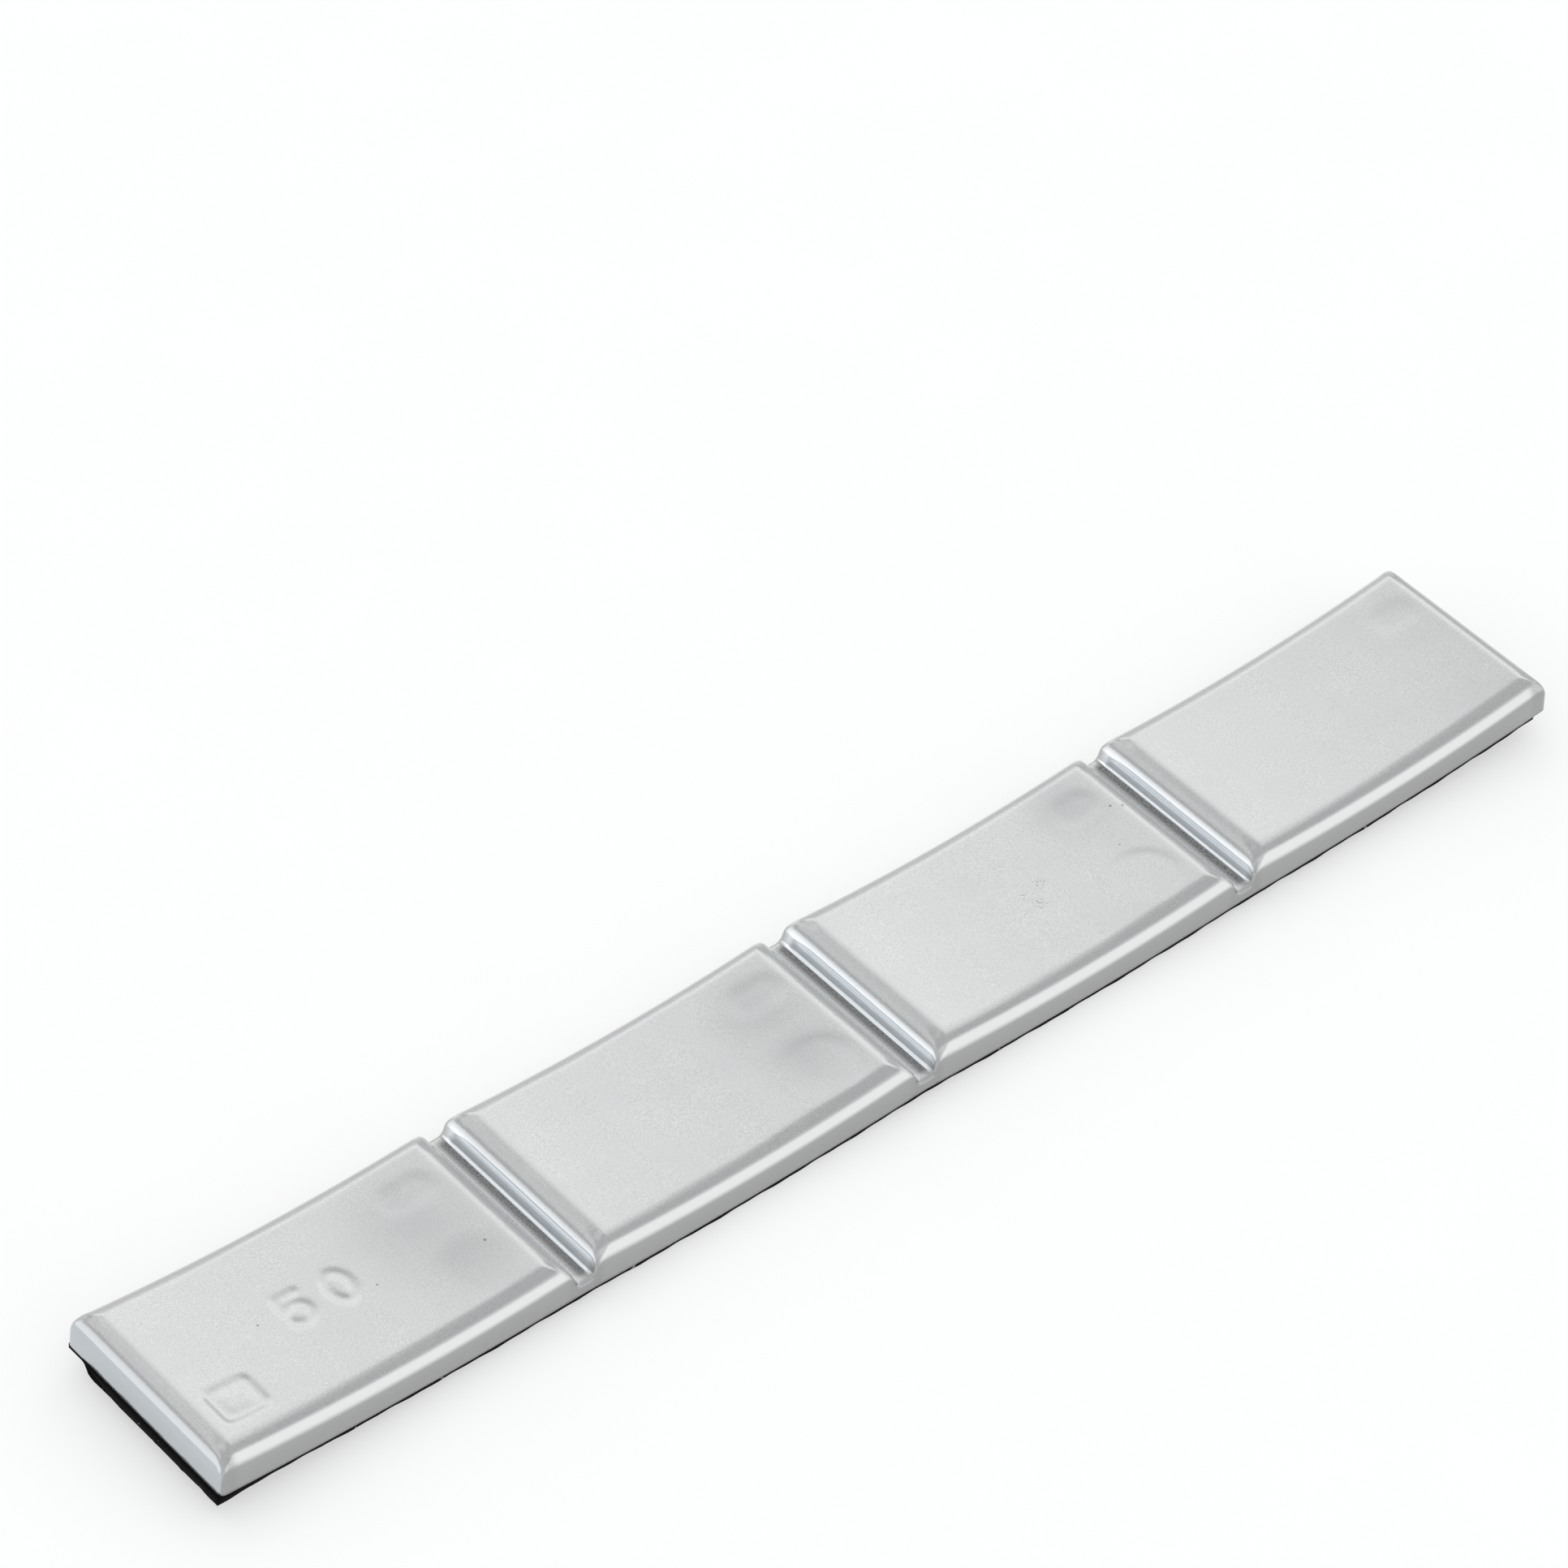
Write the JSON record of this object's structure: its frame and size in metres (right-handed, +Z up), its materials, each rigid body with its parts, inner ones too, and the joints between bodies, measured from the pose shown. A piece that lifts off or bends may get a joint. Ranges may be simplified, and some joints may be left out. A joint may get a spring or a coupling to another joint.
{
  "type": "wheel balance weight",
  "caption": "Stick-on balance weight for a car wheel: a cast zinc strip of gently hollowed segments parted by cross grooves, backed by a black foam adhesive tape",
  "frame": {"origin": "under the middle of the strip, level with the lowest points of the tape", "axes": "X along the strip, Y across it, Z up out of its grooved top"},
  "size_m": [0.1366, 0.0188, 0.0055],
  "materials": {
    "silver_coat": "satin silver coating over cast zinc",
    "foam_tape": "matt black closed-cell foam"
  },
  "bodies": {
    "root": {"weight_strip": "silver_coat", "adhesive_tape": "foam_tape"}
  },
  "joints": []
}
